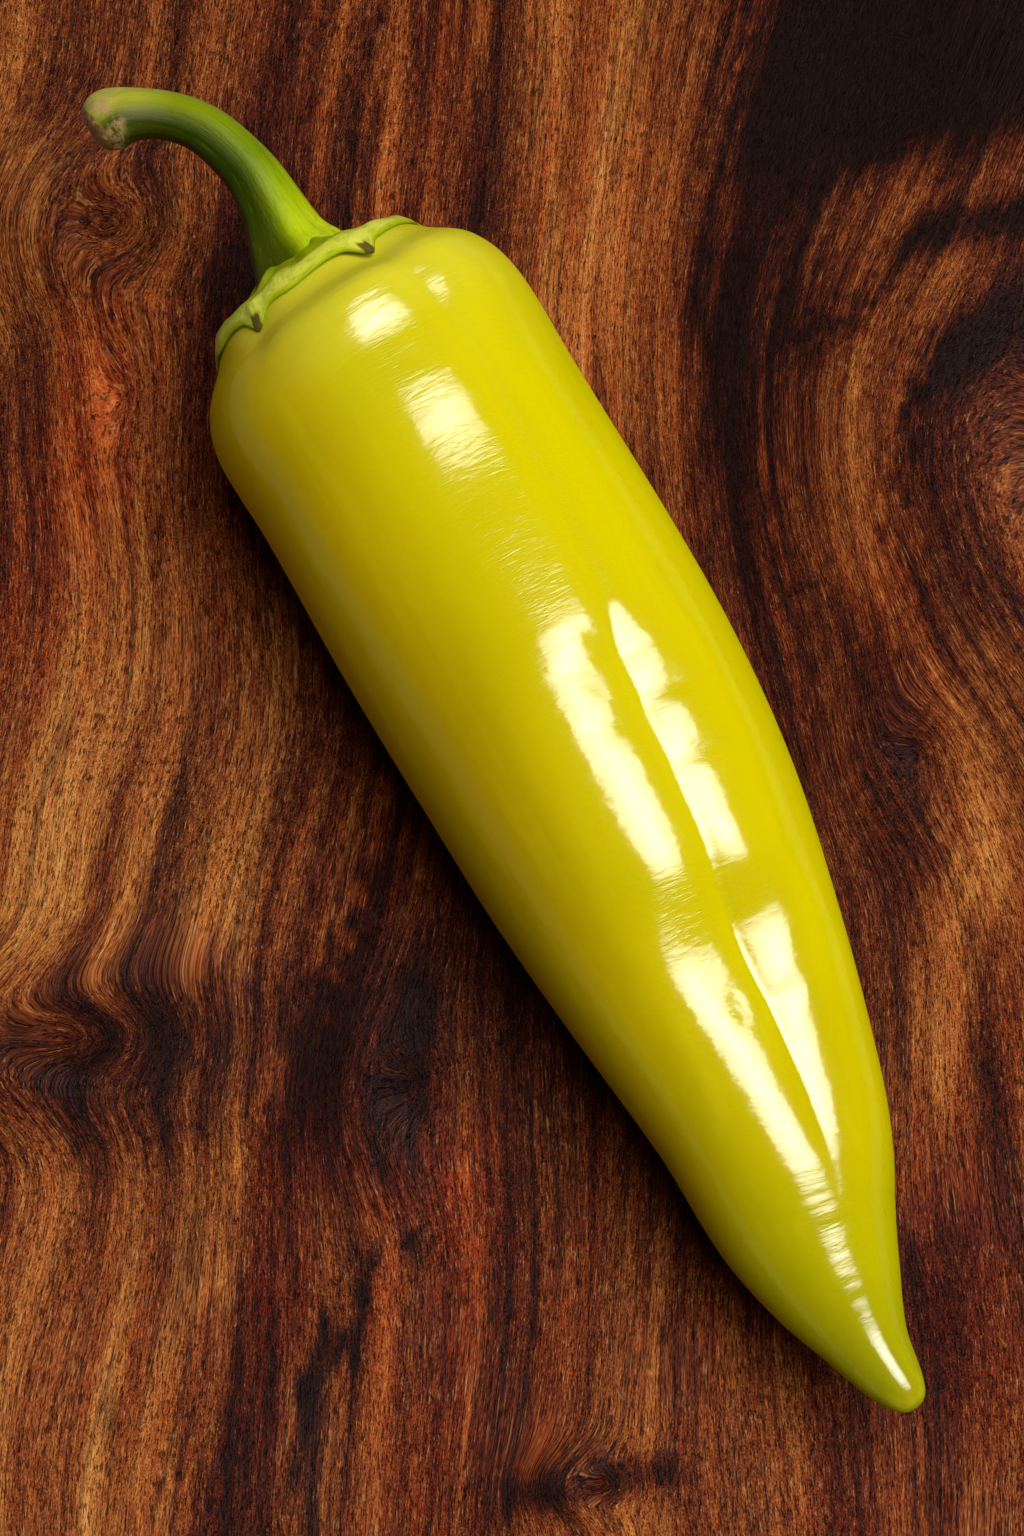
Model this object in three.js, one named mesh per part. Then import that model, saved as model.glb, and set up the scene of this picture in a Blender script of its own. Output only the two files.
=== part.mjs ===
// A banana pepper lying on a plain wooden board.
// Millimetres, +Z up. The origin is the middle of the board's underside, and +Y runs along the grain.
import * as THREE from "three";

// The board is one plank with rounded corners and softened edges.
const BOARD_LENGTH = 254;
const BOARD_WIDTH = 178;
const BOARD_THICKNESS = 18;
const BOARD_CORNER_RADIUS = 12;
const BOARD_EDGE_ROUND = 2.5;

// Pieces that touch keep this gap.
const TOUCH_GAP = 0.3;

// The pepper's own frame: +X from the calyx to the tip, +Z up, its origin on the board under the calyx.
const PEPPER_PLACE = new THREE.Vector2(-23.6, 48.1);
const PEPPER_TURN_DEGREES = -62;

// Centre line of the fruit in the pepper's frame: [towards the tip, sideways, height above the board].
const FRUIT_CENTRE_LINE = [
  [0, -0.7, 25.7],
  [16, 1.1, 22.4],
  [40, 1.7, 22.0],
  [66, 2.0, 21.8],
  [92.2, 1.1, 20.2],
  [113.3, -0.2, 18.0],
  [129.4, -2.7, 15.8],
  [143.1, -3.4, 16.5],
  [152.5, -2.5, 18.1],
];

// Outline of the fruit: [distance along the centre line, radius]. It starts in the dish under the calyx.
const FRUIT_OUTLINE = [
  [1.8, 0],
  [1.4, 6],
  [0.6, 10.5],
  [0.3, 13.2],
  [2.6, 15.8],
  [6.5, 19.7],
  [13, 21.6],
  [26, 21.5],
  [45, 21.7],
  [62, 21.3],
  [80, 20],
  [97, 17.4],
  [113, 14.3],
  [126, 11.6],
  [137, 8],
  [144.5, 5],
  [150, 3.4],
  [152.6, 2.3],
  [153.7, 1.3],
  [154, 0],
];

// The shoulder is notched under each tooth of the calyx, most at the rim of the dish. A notch fades out between two
// distances along the centre line. All angles are about the centre line, from straight up.
const TOOTH_ANGLES_DEGREES = [19, 81, 141, 201, 261, 317];
const NOTCH_HALF_WIDTH_DEGREES = 13;
const NOTCH_DEPTH = 1.3;
const NOTCH_FADE = [2, 16];
const DISH_RADIUS = 8;

// One furrow between two lobes runs on from a notch nearly to the tip: [distance along, degrees round, depth].
const FURROW = [
  [0, 19, 0],
  [12, 20, 0.6],
  [30, 21, 0.3],
  [50, 18, 0.5],
  [59, 14, 1],
  [64, 11.5, 2.3],
  [88, 10, 2],
  [106, 12.5, 2.1],
  [118, 14.5, 1.5],
  [130, 14, 0.2],
  [154, 12, 0],
];
const FURROW_HALF_WIDTH_DEGREES = 19;

// The fruit's back, its upper side, stands a little above or below the plain outline: [distance along, height].
const BACK = [
  [0, 0],
  [3.2, 0],
  [5, 1.9],
  [8, 1.3],
  [13, 0.2],
  [24, 0.85],
  [37, -0.2],
  [50, 0.4],
  [64, 1.85],
  [86, 1.1],
  [93, -0.4],
  [105, -0.2],
  [125, 0.7],
  [138, 1.1],
  [154, 0],
];
const BACK_MIDDLE_DEGREES = 2;
const BACK_HALF_WIDTH_DEGREES = 40;

// The calyx is a thin cap with a thick middle and blunt teeth.
const CALYX_RADIUS = 13.2;
const CALYX_TOOTH_LENGTH = 2.4;
const CALYX_RIM_THICKNESS = 1;
const CALYX_MIDDLE_THICKNESS = 4.3;
const CALYX_MIDDLE_RADIUS = 4;

// Stem: its path from the calyx in the pepper's frame, and its outline along that path.
const STEM_PATH = [
  [-3.5, -1.1, 26.5],
  [-6.2, -1.4, 27.1],
  [-10.4, -1.1, 28.6],
  [-15, -1.4, 30.3],
  [-19.3, -2.6, 31.3],
  [-22.5, -4.3, 31.9],
  [-25.3, -6.9, 32.3],
  [-27.3, -10, 32.5],
  [-28.4, -13.3, 32.6],
  [-28.2, -15.4, 32.6],
];
const STEM_OUTLINE = [
  [0, 6],
  [1.2, 5.1],
  [2.8, 4.5],
  [5.5, 4],
  [9, 3.6],
  [14, 3.3],
  [22, 3.05],
  [27, 3.05],
  [30.5, 3.3],
  [32.6, 3.2],
  [33.4, 2.5],
];

const FRUIT_SIDES = 48;
const FRUIT_STEPS = 64;
const CALYX_SIDES = 48;
const CALYX_RINGS = 7;
const CALYX_RING_POWER = 0.7;
const STEM_SIDES = 20;
const STEM_STEPS = 24;

const UP = new THREE.Vector3(0, 0, 1);

function curveThrough(points) {
  const vectors = points.map(([x, y, z]) => new THREE.Vector3(x, y, z));
  return new THREE.CatmullRomCurve3(vectors, false, "catmullrom", 0.5);
}

// An outline of [along, radius] points as a lathe's profile, with the radius as x.
function profileThrough(outline, steps) {
  const vectors = outline.map(([along, radius]) => new THREE.Vector2(radius, along));
  return new THREE.SplineCurve(vectors).getPoints(steps);
}

// A point at a distance along a curve, a radius from it and an angle round it. Past its ends the curve is straight.
function pointAround(curve, along, radius, angle) {
  const length = curve.getLength();
  const share = THREE.MathUtils.clamp(along / length, 0, 1);
  const tangent = curve.getTangentAt(share);
  const side = UP.clone().cross(tangent).normalize();
  const top = tangent.clone().cross(side);
  return curve
    .getPointAt(share)
    .addScaledVector(tangent, along - share * length)
    .addScaledVector(top, radius * Math.cos(angle))
    .addScaledVector(side, radius * Math.sin(angle));
}

// Takes each vertex of a lathed solid (radius and angle about Y, distance along Y) to the place that place() gives.
// The angle is measured the way that keeps the solid's faces pointing out.
function reshape(geometry, place) {
  const position = geometry.getAttribute("position");
  for (let i = 0; i < position.count; i += 1) {
    const [x, y, z] = [position.getX(i), position.getY(i), position.getZ(i)];
    const moved = place(y, Math.hypot(x, z), Math.atan2(-x, z));
    position.setXYZ(i, moved.x, moved.y, moved.z);
  }
  geometry.computeVertexNormals();
  return geometry;
}

// 1 at the middle of a mark at the given angle, falling smoothly to 0 around it.
function nearness(angle, middleDegrees, halfWidthDegrees) {
  const apart = THREE.MathUtils.radToDeg(angle) - middleDegrees;
  const wrapped = THREE.MathUtils.euclideanModulo(apart + 180, 360) - 180;
  return Math.exp(-((wrapped / halfWidthDegrees) ** 2));
}

function nearATooth(angle, halfWidthDegrees) {
  return Math.max(...TOOTH_ANGLES_DEGREES.map((tooth) => nearness(angle, tooth, halfWidthDegrees)));
}

const fruitLine = curveThrough(FRUIT_CENTRE_LINE);
const fruitProfile = profileThrough(FRUIT_OUTLINE, FRUIT_STEPS);

// How far the shoulder is pushed towards the tip by the notches, for a point of the outline.
function notchAt(along, radius, angle) {
  const onShoulder = 1 - THREE.MathUtils.smoothstep(along, ...NOTCH_FADE);
  const pastDish = THREE.MathUtils.smoothstep(radius, DISH_RADIUS, CALYX_RADIUS);
  return NOTCH_DEPTH * onShoulder * pastDish * nearATooth(angle, NOTCH_HALF_WIDTH_DEGREES);
}

// A column of a table whose first column is the distance along, at any such distance.
function tableAt(table, along, column) {
  const next = table.findIndex((row) => row[0] > along);
  if (next <= 0) return table[next < 0 ? table.length - 1 : 0][column];
  const [a, b] = [table[next - 1], table[next]];
  return THREE.MathUtils.mapLinear(along, a[0], b[0], a[column], b[column]);
}

function furrowAt(along, radius, angle) {
  const size = Math.min(1, radius / CALYX_RADIUS);
  const middle = tableAt(FURROW, along, 1);
  return tableAt(FURROW, along, 2) * size * nearness(angle, middle, FURROW_HALF_WIDTH_DEGREES);
}

function backAt(along, angle) {
  return tableAt(BACK, along, 1) * nearness(angle, BACK_MIDDLE_DEGREES, BACK_HALF_WIDTH_DEGREES);
}

function makeFruit() {
  const lathed = new THREE.LatheGeometry(fruitProfile, FRUIT_SIDES);
  return reshape(lathed, (along, radius, angle) => {
    const notched = along + notchAt(along, radius, angle);
    const raised = radius + Math.min(1, radius / 4) * backAt(along, angle);
    return pointAround(fruitLine, notched, raised - furrowAt(along, radius, angle), angle);
  });
}

// Where the fruit's notched top lies along the centre line, at a radius inside the shoulder.
function fruitTop(radius, angle) {
  const outer = Math.max(1, fruitProfile.findIndex((point) => point.x >= radius));
  const [a, b] = [fruitProfile[outer - 1], fruitProfile[outer]];
  const along = THREE.MathUtils.mapLinear(radius, a.x, b.x, a.y, b.y);
  return along + notchAt(along, radius, angle);
}

// A flat disc is lathed first. Its radius, 0 to 1, becomes a share of the rim, and its two faces the cap's two sides.
function makeCalyx() {
  const shares = Array.from({ length: CALYX_RINGS + 1 }, (_, i) => (i / CALYX_RINGS) ** CALYX_RING_POWER);
  const outside = shares.map((share) => new THREE.Vector2(share, 0));
  const inside = shares.map((share) => new THREE.Vector2(share, 1)).reverse();
  const disc = new THREE.LatheGeometry([...outside, ...inside], CALYX_SIDES);
  return reshape(disc, (face, share, angle) => {
    const rim = CALYX_RADIUS + CALYX_TOOTH_LENGTH * nearATooth(angle, NOTCH_HALF_WIDTH_DEGREES);
    const radius = share * rim;
    const thinning = THREE.MathUtils.smoothstep(radius, CALYX_MIDDLE_RADIUS, CALYX_RADIUS);
    const thickness = THREE.MathUtils.lerp(CALYX_MIDDLE_THICKNESS, CALYX_RIM_THICKNESS, thinning);
    const along = fruitTop(radius, angle) - TOUCH_GAP - (1 - face) * thickness;
    return pointAround(fruitLine, along, radius, angle);
  });
}

function makeStem() {
  const path = curveThrough(STEM_PATH);
  const side = profileThrough(STEM_OUTLINE, STEM_STEPS);
  const [base, end] = [side[0], side[STEM_STEPS]];
  const profile = [new THREE.Vector2(0, base.y), ...side, new THREE.Vector2(0, end.y)];
  const lathed = new THREE.LatheGeometry(profile, STEM_SIDES);
  return reshape(lathed, (along, radius, angle) => pointAround(path, along, radius, angle));
}

// The bevel of the extrusion rounds the edges, so the shape itself is smaller by that much all round.
function makeBoard() {
  const halfWidth = BOARD_WIDTH / 2 - BOARD_EDGE_ROUND;
  const halfLength = BOARD_LENGTH / 2 - BOARD_EDGE_ROUND;
  const corner = BOARD_CORNER_RADIUS - BOARD_EDGE_ROUND;
  const outline = new THREE.Shape();
  outline.absarc(halfWidth - corner, halfLength - corner, corner, 0, Math.PI / 2);
  outline.absarc(corner - halfWidth, halfLength - corner, corner, Math.PI / 2, Math.PI);
  outline.absarc(corner - halfWidth, corner - halfLength, corner, Math.PI, Math.PI * 1.5);
  outline.absarc(halfWidth - corner, corner - halfLength, corner, Math.PI * 1.5, Math.PI * 2);
  outline.closePath();
  const plank = new THREE.ExtrudeGeometry(outline, {
    depth: BOARD_THICKNESS - 2 * BOARD_EDGE_ROUND,
    bevelThickness: BOARD_EDGE_ROUND,
    bevelSize: BOARD_EDGE_ROUND,
    bevelSegments: 4,
    curveSegments: 8,
  });
  return plank.translate(0, 0, BOARD_EDGE_ROUND);
}

function named(name, geometry, color, roughness) {
  const material = new THREE.MeshStandardMaterial({ color, roughness, metalness: 0 });
  const mesh = new THREE.Mesh(geometry, material);
  mesh.name = name;
  return mesh;
}

const pepper = new THREE.Group();
pepper.add(named("fruit", makeFruit(), 0xd8cc0a, 0.2));
pepper.add(named("calyx", makeCalyx(), 0x9bbf2e, 0.45));
pepper.add(named("stem", makeStem(), 0x6d9a14, 0.4));
pepper.position.set(PEPPER_PLACE.x, PEPPER_PLACE.y, BOARD_THICKNESS);
pepper.rotation.z = THREE.MathUtils.degToRad(PEPPER_TURN_DEGREES);

const pepperOnBoard = new THREE.Group();
pepperOnBoard.add(named("board", makeBoard(), 0x6b341a, 0.5));
pepperOnBoard.add(pepper);

export default pepperOnBoard;
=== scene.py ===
"""A banana pepper lying on a plain wooden board: the looks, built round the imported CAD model.

Lengths are millimetres, and go to Blender in metres. Only the studio, at the end, is laid out in metres.
"""
import math

import bpy
import numpy as np
from mathutils import Matrix, Vector


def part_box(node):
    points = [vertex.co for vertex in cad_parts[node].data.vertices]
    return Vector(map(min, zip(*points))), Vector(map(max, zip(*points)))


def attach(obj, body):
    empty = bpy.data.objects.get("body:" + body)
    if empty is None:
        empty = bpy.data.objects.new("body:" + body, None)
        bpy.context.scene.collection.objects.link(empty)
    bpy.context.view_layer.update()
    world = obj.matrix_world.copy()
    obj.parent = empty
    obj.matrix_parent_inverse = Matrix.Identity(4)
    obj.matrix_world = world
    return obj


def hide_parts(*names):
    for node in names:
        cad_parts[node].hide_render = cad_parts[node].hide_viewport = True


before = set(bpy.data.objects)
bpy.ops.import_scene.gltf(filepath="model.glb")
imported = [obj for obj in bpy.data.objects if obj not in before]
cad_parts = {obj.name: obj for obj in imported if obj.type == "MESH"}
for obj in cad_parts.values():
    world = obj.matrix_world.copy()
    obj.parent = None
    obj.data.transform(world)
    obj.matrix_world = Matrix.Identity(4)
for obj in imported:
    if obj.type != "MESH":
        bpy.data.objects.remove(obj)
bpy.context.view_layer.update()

MM = 0.001
ROOT = "root"

# ---------------------------------------------------------------- sizes shared with the CAD model

# The board stands on the floor with its middle over the origin, and this is its highest corner.
BOARD_HIGH = np.array(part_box("board")[1]) / MM
BOARD_TOP = BOARD_HIGH[2]

# The pepper's frame: its origin on the board, under the dish of the fruit, and the way the fruit points.
PEPPER_PLACE = (-23.6, 48.1)
PEPPER_TURN = math.radians(-62)
# The pepper's finer meshes stand this much lower than the CAD model's: the fruit just clears the board.
PEPPER_SINK = 0.25

# Centre line of the fruit in the pepper's frame: [towards the tip, sideways, height above the board].
FRUIT_CENTRE_LINE = [
    [0, -0.7, 25.7],
    [16, 1.1, 22.4],
    [40, 1.7, 22.0],
    [66, 2.0, 21.8],
    [92.2, 1.1, 20.2],
    [113.3, -0.2, 18.0],
    [129.4, -2.7, 15.8],
    [143.1, -3.4, 16.5],
    [152.5, -2.5, 18.1],
]

# Outline of the fruit: [distance along the centre line, radius], from the middle of the dish to the tip.
FRUIT_OUTLINE = [
    [1.8, 0],
    [1.4, 6],
    [0.6, 10.5],
    [0.3, 13.2],
    [2.6, 15.8],
    [6.5, 19.7],
    [13, 21.6],
    [26, 21.5],
    [45, 21.7],
    [62, 21.3],
    [80, 20],
    [97, 17.4],
    [113, 14.3],
    [126, 11.6],
    [137, 8],
    [144.5, 5],
    [150, 3.4],
    [152.6, 2.3],
    [153.7, 1.3],
    [154, 0],
]
FRUIT_LENGTH = FRUIT_OUTLINE[-1][0]

# The cap: its radius between the teeth, and where the teeth stand, in degrees round from straight up.
CALYX_RADIUS = 13.2
TOOTH_DEGREES = [19, 81, 141, 201, 261, 317]

# Centre line of the stem, in the same frame as the fruit's.
STEM_PATH = [
    [-3.2, -0.7, 26.3],
    [-6, -0.9, 27.0],
    [-10.4, -0.9, 28.6],
    [-15, -1.3, 30.3],
    [-19.3, -2.6, 31.3],
    [-22.5, -4.3, 31.9],
    [-25.3, -6.9, 32.3],
    [-27.3, -10, 32.5],
    [-28.3, -13.3, 32.6],
    [-27.9, -16, 32.6],
]
# Outline of the stem: [distance along its centre line, radius], from the cap to the cut end.
STEM_OUTLINE = [
    [0, 6.4],
    [1.2, 5.85],
    [2.8, 5.25],
    [5.5, 4.5],
    [9, 3.85],
    [14, 3.3],
    [22, 3.05],
    [27, 3.1],
    [30.5, 3.5],
    [32.3, 3.7],
    [33.6, 3.45],
    [34.4, 2.8],
    [34.7, 2.2],
]

# ---------------------------------------------------------------- small tools


def smoothstep(x, low, high):
    share = np.clip((x - low) / (high - low), 0, 1)
    return share * share * (3 - 2 * share)


def hump(x, middle, half_width):
    """1 at middle, falling smoothly to 0 on both sides."""
    return np.exp(-(((x - middle) / half_width) ** 2))


def degrees_apart(a, b):
    """a - b, brought between -180 and 180."""
    return (a - b + 180) % 360 - 180


def humps_round(degrees, middles, half_degrees):
    """A hump at each of the middles, all in degrees round a piece."""
    return np.max([hump(degrees_apart(degrees, middle), 0, half_degrees) for middle in middles], axis=0)


def waves(places, frequencies, seed, count=24):
    """A smooth, uneven, seeded field of about -1 to 1, with its waves per millimetre on each axis."""
    draw = np.random.default_rng(seed)
    total = np.zeros(places.shape[:-1])
    for _ in range(count):
        direction = draw.normal(size=len(frequencies)) * np.asarray(frequencies)
        phase = draw.uniform(0, 2 * math.pi)
        total += np.sin(places @ direction * 2 * math.pi + phase)
    return total / math.sqrt(count)


def spline(points, steps, straight_ends):
    """Evenly indexed points on a Catmull-Rom curve through the given ones."""
    points = np.asarray(points, float)
    if straight_ends:
        before, after = 2 * points[0] - points[1], 2 * points[-1] - points[-2]
    else:
        before, after = points[0], points[-1]
    padded = np.vstack([before, points, after])
    place = np.linspace(0, len(points) - 1, steps)
    index = np.minimum(place.astype(int), len(points) - 2)
    t = (place - index)[:, None]
    a, b, c, d = (padded[index + k] for k in range(4))
    leaving, arriving = (c - a) / 2, (d - b) / 2
    cubic = 2 * b - 2 * c + leaving + arriving
    square = -3 * b + 3 * c - 2 * leaving - arriving
    return cubic * t**3 + square * t**2 + leaving * t + b


def evenly_spaced(points, spacing):
    """Points this far apart on the polyline: spacing is one number, or one for each of its points."""
    lengths = np.r_[0, np.cumsum(np.linalg.norm(np.diff(points, axis=0), axis=1))]
    density = 1 / np.broadcast_to(spacing, len(points))
    steps = np.r_[0, np.cumsum(np.diff(lengths) * (density[1:] + density[:-1]) / 2)]
    wanted = np.linspace(0, steps[-1], int(round(steps[-1])) + 1)
    return np.stack([np.interp(wanted, steps, column) for column in points.T], -1)


class CentreLine:
    """A curve with a frame at each distance along it: tangent, side (level) and top."""

    def __init__(self, points, steps=1600):
        self.points = spline(points, steps, straight_ends=True)
        gaps = np.linalg.norm(np.diff(self.points, axis=0), axis=1)
        self.along = np.r_[0, np.cumsum(gaps)]
        self.length = self.along[-1]
        self.tangents = np.gradient(self.points, axis=0)

    def around(self, along, radius, angle):
        """The point this far along the line and this far from it, turned by the angle from the top."""
        inside = np.clip(along, 0, self.length)
        centre, tangent = (
            np.stack([np.interp(inside, self.along, column) for column in rows.T], -1)
            for rows in (self.points, self.tangents)
        )
        tangent /= np.linalg.norm(tangent, axis=-1, keepdims=True)
        side = np.cross([0, 0, 1], tangent)
        side /= np.linalg.norm(side, axis=-1, keepdims=True)
        top = np.cross(tangent, side)
        beyond = (along - inside)[..., None] * tangent
        up = (radius * np.cos(angle))[..., None] * top
        return centre + beyond + up + (radius * np.sin(angle))[..., None] * side


def rings_round(columns, sides):
    """Each column's values, one for each ring, repeated round the rings, and the angle of every place."""
    angle = np.linspace(-math.pi, math.pi, sides, endpoint=False)
    repeated = [np.repeat(np.asarray(column)[:, None], sides, axis=1) for column in columns]
    return (*repeated, np.broadcast_to(angle, repeated[0].shape))


def straightened(along, radius, angle):
    """Where each point would stand if the piece's centre line were straight: [along, side, up]."""
    return np.stack([along, radius * np.sin(angle), radius * np.cos(angle)], -1)


def pepper_to_world(points):
    """From the pepper's frame to the object's frame."""
    cos, sin = math.cos(PEPPER_TURN), math.sin(PEPPER_TURN)
    x = PEPPER_PLACE[0] + cos * points[..., 0] - sin * points[..., 1]
    y = PEPPER_PLACE[1] + sin * points[..., 0] + cos * points[..., 1]
    return np.stack([x, y, BOARD_TOP - PEPPER_SINK + points[..., 2]], -1)


# ---------------------------------------------------------------- fruit

OUTLINE_STEPS = 4000
FRUIT_SIDES = 240
RING_SPACING = 0.6
FINE_RING_SPACING = 0.2
# The rings are closer together here, where the tip is rippled.
FINE_MIDDLE = 133
FINE_HALF_LENGTH = 11
# Inside the dish, under the cap, the skin is left plain.
DISH_RADIUS = 9
DISH_DEPTH = 20
# Near both poles the relief fades out below this radius.
POLE_RADIUS = 3

# The dents in the shoulder under the teeth: they fade out along the fruit, and grow with the radius.
NOTCH_HALF_DEGREES = 9
NOTCH_DEPTH = 0.4
NOTCH_FADES_ALONG = (2, 16)
NOTCH_GROWS_OUTWARD = (8, CALYX_RADIUS)

# The furrow between the two upper lobes: [distance along, degrees round].
FURROW_PATH = [
    [0, 19],
    [14, 20],
    [30, 21],
    [45, 19.5],
    [56, 17],
    [63, 13],
    [75, 12],
    [98, 12],
    [106, 14],
    [121, 16],
    [140, 13],
    [154, 12],
]
# Its depth and reach: [distance along, wide depth, narrow depth, degrees to the left, and to the right].
FURROW_SHAPE = [
    [0, 0.4, 0.7, 46, 34],
    [8, 0.8, 0.6, 46, 34],
    [18, 0.25, 0.22, 46, 34],
    [45, 0.3, 0.2, 46, 34],
    [59, 0.9, 0.15, 46, 34],
    [64, 2.8, 0.1, 42, 34],
    [70, 2.75, 0.1, 44, 34],
    [84, 2.4, 0.12, 45, 34],
    [90, 2.3, 0.3, 45, 34],
    [95, 2.6, 0.3, 43, 40],
    [102, 2.6, 0.1, 45, 52],
    [112, 2.3, 0.08, 46, 56],
    [118, 1.6, 0.08, 46, 46],
    [123, 0.7, 0.05, 46, 46],
    [130, 0.2, 0.05, 46, 46],
    [145, 0, 0, 46, 46],
]
FURROW_NARROW = 1.7
# The bottom of the furrow is rounded off over this width, and the furrow fades out on a thinner fruit.
FURROW_BLUNT = 0.5
FURROW_POWER = 1.5
FURROW_RADIUS = (2, 12)

# How far the upper side stands above the plain outline: [distance along, height].
BACK = [
    [0, 0],
    [2.6, 0.2],
    [4.4, 2],
    [6, 1.95],
    [8, 1.3],
    [10, 0.75],
    [13, 0.2],
    [16, 0.1],
    [20, 0.5],
    [24, 0.85],
    [28, 0.65],
    [31, 0.25],
    [34, -0.05],
    [37, -0.2],
    [40, -0.15],
    [44, 0.15],
    [50, 0.65],
    [58, 1.35],
    [63, 1.85],
    [67, 1.8],
    [75, 1.5],
    [84, 1.25],
    [87, 0.95],
    [90, 0.4],
    [94, -0.32],
    [97, -0.85],
    [100, -1.1],
    [104, -0.95],
    [110, -0.4],
    [115, 0.1],
    [125, 0.7],
    [132, 1.0],
    [138, 1.1],
    [145, 0.6],
    [154, 0],
]
BACK_STEPS = 40
# Where round the fruit the back and the ripples stand: (middle, half width).
BACK_DEGREES = (2, 40)
RIPPLE_DEGREES = (2, 18)

# Small dents across the upper side of the tip: [distance along, depth, half length].
RIPPLES = [
    [124.3, 0.02, 0.5],
    [125.6, 0.024, 0.5],
    [127.1, 0.026, 0.55],
    [128.7, 0.026, 0.6],
    [131.8, 0.05, 1.2],
    [135.5, 0.03, 0.6],
    [137.3, 0.03, 0.6],
    [139.2, 0.032, 0.6],
    [141, 0.03, 0.6],
]

# Soft swells (+) and dents (-) of the flesh: [along, degrees, height, half length, half degrees].
SWELLS = [
    [9, 50, 0.5, 9, 22],
    [7, 34, 0.5, 6, 10],
    [61, 6, -0.12, 2, 3],
    [66, 1, -0.2, 2, 5],
    [71, 4, -0.3, 2, 9],
    [69, 25, -0.45, 1.6, 10],
    [77, 26, -0.4, 1.3, 10],
    [104.5, -2, -0.2, 2.5, 7],
    [105, 24, -0.25, 1.6, 10],
    [88, -6, 0.4, 4, 13],
    [98, -6, -0.4, 5, 13],
    [89, 22, 0.6, 5, 14],
    [97, 24, -0.5, 5, 14],
    [102, 28, 0.25, 5, 14],
]


def furrow(along, degrees, radius):
    """How deep the furrow is: a wide valley with a narrow crease at its bottom."""
    middle = np.interp(along, *np.transpose(FURROW_PATH))
    places, *columns = np.transpose(FURROW_SHAPE)
    wide, narrow, left, right = (np.interp(along, places, column) for column in columns)
    off = degrees_apart(degrees, middle)
    away = np.sqrt((np.radians(off) * radius) ** 2 + FURROW_BLUNT**2) - FURROW_BLUNT
    reach = np.radians(np.where(off < 0, left, right)) * np.maximum(radius, 1)
    valley = np.clip(1 - away / reach, 0, 1) ** FURROW_POWER
    crease = np.exp(-away / FURROW_NARROW)
    return (wide * valley + narrow * crease) * smoothstep(radius, *FURROW_RADIUS)


def fruit_notch(along, radius, degrees):
    """How far the shoulder is pushed towards the tip under the calyx's teeth."""
    depth = NOTCH_DEPTH * (1 - smoothstep(along, *NOTCH_FADES_ALONG))
    depth = depth * smoothstep(radius, *NOTCH_GROWS_OUTWARD)
    return depth * humps_round(degrees, TOOTH_DEGREES, NOTCH_HALF_DEGREES)


def fruit_relief(along, degrees, radius):
    """How far the skin stands out from the plain outline."""

    def patch(middle, half_degrees):
        return hump(degrees_apart(degrees, middle), 0, half_degrees)

    back = spline(BACK, BACK_STEPS * len(BACK), straight_ends=True)
    relief = np.interp(along, *back.T) * patch(*BACK_DEGREES) - furrow(along, degrees, radius)
    ripples = sum(depth * hump(along, place, half_length) for place, depth, half_length in RIPPLES)
    relief = relief - ripples * patch(*RIPPLE_DEGREES)
    for place, middle, height, half_length, half_degrees in SWELLS:
        relief = relief + height * hump(along, place, half_length) * patch(middle, half_degrees)
    return relief


def fruit_surface():
    """Points of the skin in the pepper's frame, and the fields that its material reads."""
    outline = spline(FRUIT_OUTLINE, OUTLINE_STEPS, straight_ends=False)
    fine = abs(outline[:, 0] - FINE_MIDDLE) < FINE_HALF_LENGTH
    rings = evenly_spaced(outline, np.where(fine, FINE_RING_SPACING, RING_SPACING))
    along, radius, angle = rings_round(rings.T, FRUIT_SIDES)
    degrees = np.degrees(angle)
    uncovered = smoothstep(radius, DISH_RADIUS, CALYX_RADIUS + 1) + (along > DISH_DEPTH)
    relief = fruit_relief(along, degrees, radius) * np.clip(uncovered, 0, 1)
    relief = relief * smoothstep(radius, 0, POLE_RADIUS)
    moved = along + fruit_notch(along, radius, degrees)
    surface = CentreLine(FRUIT_CENTRE_LINE).around(moved, radius + relief, angle)
    return surface, {"straight": straightened(along, radius, angle)}


# ---------------------------------------------------------------- meshes


def lathed_mesh(name, points, fields):
    """A closed mesh from rings of points in millimetres, whose first and last rings are poles."""
    rings, sides = points.shape[0] - 2, points.shape[1]

    def flat(values):
        body = values[1:-1].reshape(rings * sides, -1)
        return np.vstack([values[0, :1].reshape(1, -1), body, values[-1, :1].reshape(1, -1)])

    index = 1 + np.arange(rings * sides).reshape(rings, sides)
    following = np.roll(index, -1, axis=1)
    quads = np.stack([index[:-1], index[1:], following[1:], following[:-1]], -1).reshape(-1, 4)
    last = rings * sides + 1
    first_fan = np.stack([np.zeros(sides, int), index[0], following[0]], -1)
    last_fan = np.stack([np.full(sides, last), following[-1], index[-1]], -1)
    faces = quads.tolist() + first_fan.tolist() + last_fan.tolist()
    return make_mesh(name, flat(points), faces, {key: flat(values) for key, values in fields.items()})


def make_mesh(name, vertices, faces, fields):
    """A smooth object from vertices in millimetres, with the fields that its material reads there."""
    mesh = bpy.data.meshes.new(name)
    mesh.from_pydata((vertices * MM).tolist(), [], faces)
    for key, values in fields.items():
        kind, slot = ("FLOAT_VECTOR", "vector") if values.shape[1] == 3 else ("FLOAT", "value")
        layer = mesh.attributes.new(key, kind, "POINT")
        layer.data.foreach_set(slot, values.astype(np.float32).ravel())
    mesh.shade_smooth()
    mesh.update()
    piece = bpy.data.objects.new(name, mesh)
    bpy.context.scene.collection.objects.link(piece)
    return piece


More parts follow.
